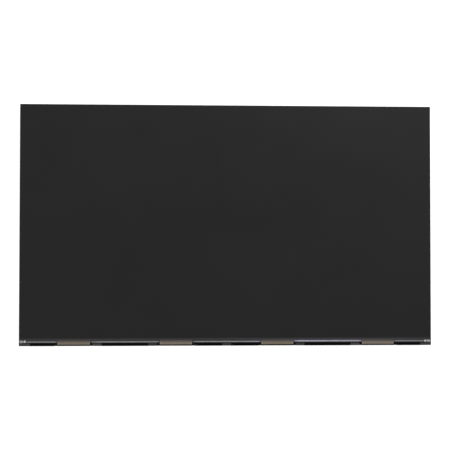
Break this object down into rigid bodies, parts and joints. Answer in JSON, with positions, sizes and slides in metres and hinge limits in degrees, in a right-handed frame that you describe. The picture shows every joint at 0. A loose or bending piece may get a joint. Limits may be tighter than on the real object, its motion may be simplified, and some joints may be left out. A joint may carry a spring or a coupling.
{
  "type": "lcd panel",
  "caption": "Backlit flat screen module with narrow sides and top, drive films folded over the bottom edge and a pressed steel back.",
  "frame": {"origin": "centre of the outline, on the plane that the back rests on", "axes": "+X along the long side to the right of the picture, +Y towards the top edge of the picture, +Z out of the screen"},
  "size_m": [0.533, 0.3114, 0.01],
  "materials": {
    "antiglare_film": "matte",
    "cell_glass": "gloss",
    "polarizing_film": "gloss",
    "clear_sealant": "gloss",
    "silver_paste": "matte",
    "polyimide_film": "satin",
    "chip_silicon": "gloss",
    "black_foam": "matte",
    "black_polycarbonate": "matte",
    "black_tape": "satin",
    "optical_film": "satin",
    "diffuser_film": "matte",
    "clear_acrylic": "gloss",
    "white_silicone": "matte",
    "white_reflector": "matte",
    "white_flex": "satin",
    "diode_package": "satin",
    "thermal_adhesive": "matte",
    "ivory_polymer": "satin",
    "gilt_contact": "polished",
    "galvanized_sheet": "satin",
    "plated_standoff": "satin",
    "black_film": "satin",
    "circuit_laminate": "gloss",
    "chip_epoxy": "matte",
    "ferrite": "matte",
    "capacitor_ceramic": "satin",
    "tinplate": "satin",
    "zinc_screw": "polished",
    "gap_filler": "matte",
    "conductive_foil": "satin"
  },
  "bodies": {
    "root": {"front_polarizer": "antiglare_film", "color_filter_glass": "cell_glass", "array_glass": "cell_glass", "rear_polarizer": "polarizing_film", "ledge_sealant": "clear_sealant", "ground_dots": "silver_paste", "drive_film_1": "polyimide_film", "drive_film_2": "polyimide_film", "drive_film_3": "polyimide_film", "drive_film_4": "polyimide_film", "driver_chip_1": "chip_silicon", "driver_chip_2": "chip_silicon", "driver_chip_3": "chip_silicon", "driver_chip_4": "chip_silicon", "cell_foam_tape": "black_foam", "middle_frame": "black_polycarbonate", "rim_tapes": "black_tape", "edge_tape_left": "black_tape", "edge_tape_right": "black_tape", "edge_tape_top": "black_tape", "recycling_film": "optical_film", "prism_sheet": "optical_film", "diffuser_sheet": "diffuser_film", "light_guide": "clear_acrylic", "guide_buffers": "white_silicone", "reflector_sheet": "white_reflector", "led_strip": "white_flex", "led_packages": "diode_package", "thermal_tape": "thermal_adhesive", "backlight_connector": "ivory_polymer", "backlight_pins": "gilt_contact", "rear_chassis": "galvanized_sheet", "mounting_standoffs": "plated_standoff", "insulation_sheet": "black_film", "drive_board": "circuit_laminate", "timing_chip": "chip_epoxy", "power_chips": "chip_epoxy", "power_inductors": "ferrite", "board_capacitors": "capacitor_ceramic", "signal_connector": "ivory_polymer", "signal_contacts": "gilt_contact", "signal_shell": "tinplate", "board_screws": "zinc_screw", "board_shield": "tinplate", "shield_screws": "zinc_screw", "thermal_pad": "gap_filler", "earth_foils": "conductive_foil"}
  },
  "joints": []
}
